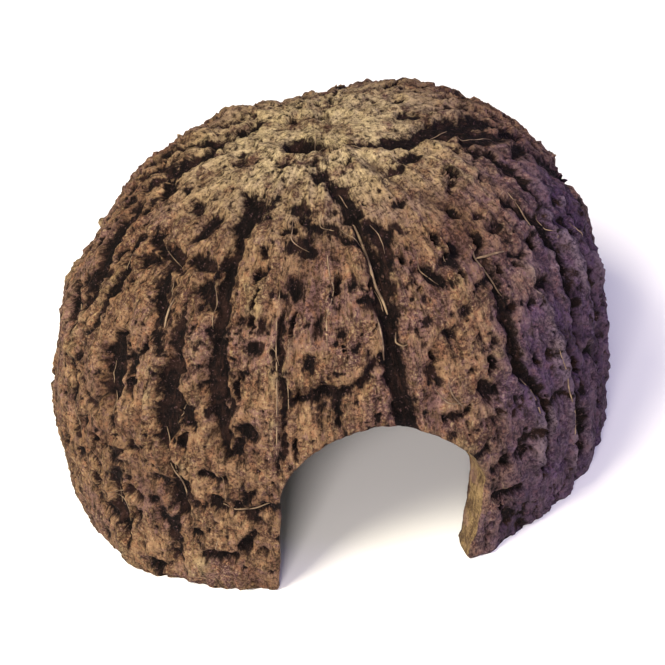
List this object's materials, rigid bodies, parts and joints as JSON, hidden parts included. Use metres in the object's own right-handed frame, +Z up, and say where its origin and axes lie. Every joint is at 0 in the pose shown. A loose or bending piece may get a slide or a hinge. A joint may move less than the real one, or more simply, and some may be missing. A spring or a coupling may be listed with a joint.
{
  "type": "brazil nut pod",
  "caption": "Empty brazil nut pod sawn off flat at its base, with an arched doorway cut through the wall, standing dome-up on its rim as a small cave.",
  "frame": {"origin": "centre of the footprint box, on the plane of the sawn rim", "axes": "+Z up towards the crown, the doorway facing -Y, the longer side of the oval plan along X"},
  "size_m": [0.125, 0.1034, 0.0771],
  "materials": {
    "husk": "dry fibrous husk, tan brown ridges with near-black grooves, fully matt; paler sawn wood at the rim and the doorway"
  },
  "bodies": {
    "root": {"pod_shell": "husk"}
  },
  "joints": []
}
